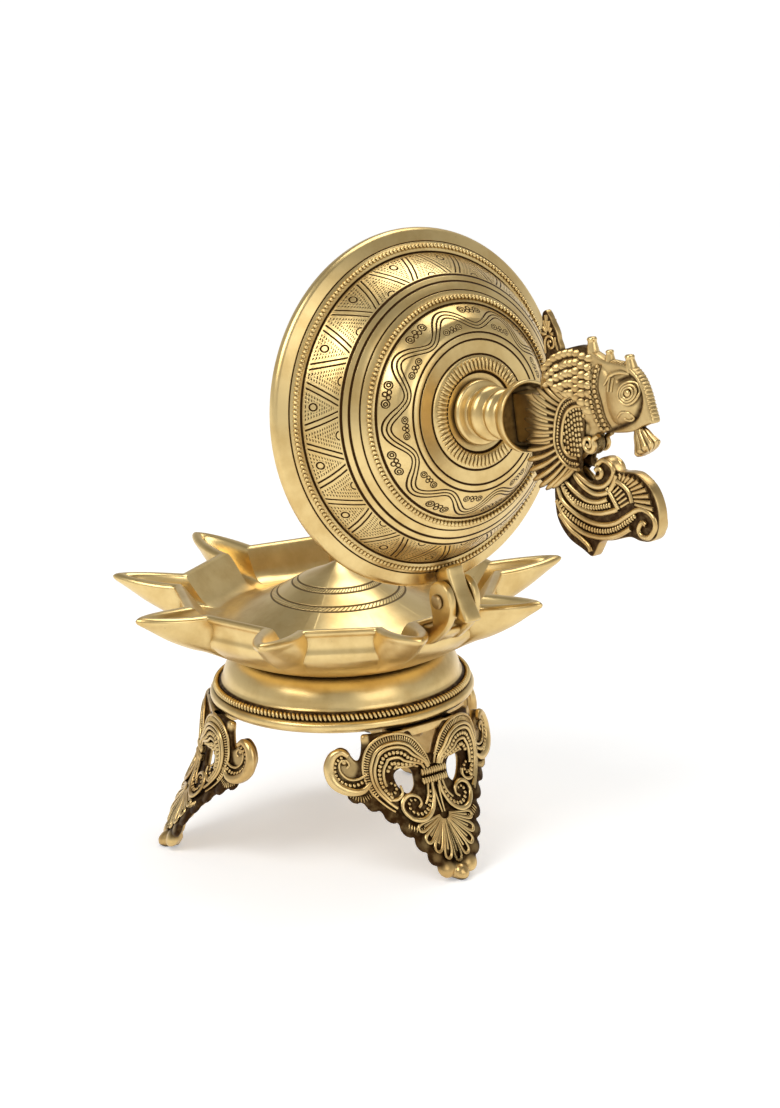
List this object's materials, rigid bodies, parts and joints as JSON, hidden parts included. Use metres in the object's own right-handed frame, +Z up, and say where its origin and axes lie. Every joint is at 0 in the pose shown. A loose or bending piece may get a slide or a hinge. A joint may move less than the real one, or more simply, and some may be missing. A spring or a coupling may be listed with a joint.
{
  "type": "oil lamp",
  "caption": "Brass oil lamp: spouted bowl on a turned pedestal with openwork legs, and a hinged dome lid that carries a peacock knob.",
  "frame": {"origin": "on the floor, under the middle of the box of the lamp with its lid thrown open", "axes": "+Z up, +X from the bowl's axis towards the lid's hinge, Y along the hinge pin"},
  "size_m": [0.2843, 0.1752, 0.2515],
  "materials": {
    "polished_brass": "warm pale brass, turned and buffed, soft gloss",
    "antique_brass": "cast brass with dark patina in the recesses and rubbed highs",
    "fastener_brass": "dull turned brass"
  },
  "bodies": {
    "base": {"pedestal": "polished_brass", "leg_rear": "antique_brass", "leg_left": "antique_brass", "leg_right": "antique_brass", "leg_screw_rear": "fastener_brass", "leg_screw_left": "fastener_brass", "leg_screw_right": "fastener_brass", "oil_bowl": "polished_brass", "bowl_stud": "fastener_brass", "bowl_washer": "fastener_brass", "bowl_nut": "fastener_brass", "hinge_pin": "fastener_brass"},
    "lid_assembly": {"hinge_tongue": "polished_brass", "lid": "polished_brass", "knob_stem": "polished_brass", "knob_washer": "fastener_brass", "knob_nut": "fastener_brass", "knob_cup": "polished_brass", "bird_body": "antique_brass", "bird_wing_left": "antique_brass", "bird_wing_right": "antique_brass", "bird_tail": "antique_brass", "leaf_plume": "antique_brass", "flower_bud": "antique_brass"}
  },
  "joints": [
    {"name": "lid_hinge", "type": "hinge", "parent": "base", "child": "lid_assembly", "pos_m": [0.0193, 0, 0.1135], "axis": [0, 1, 0], "range_deg": [-82, 0]}
  ]
}
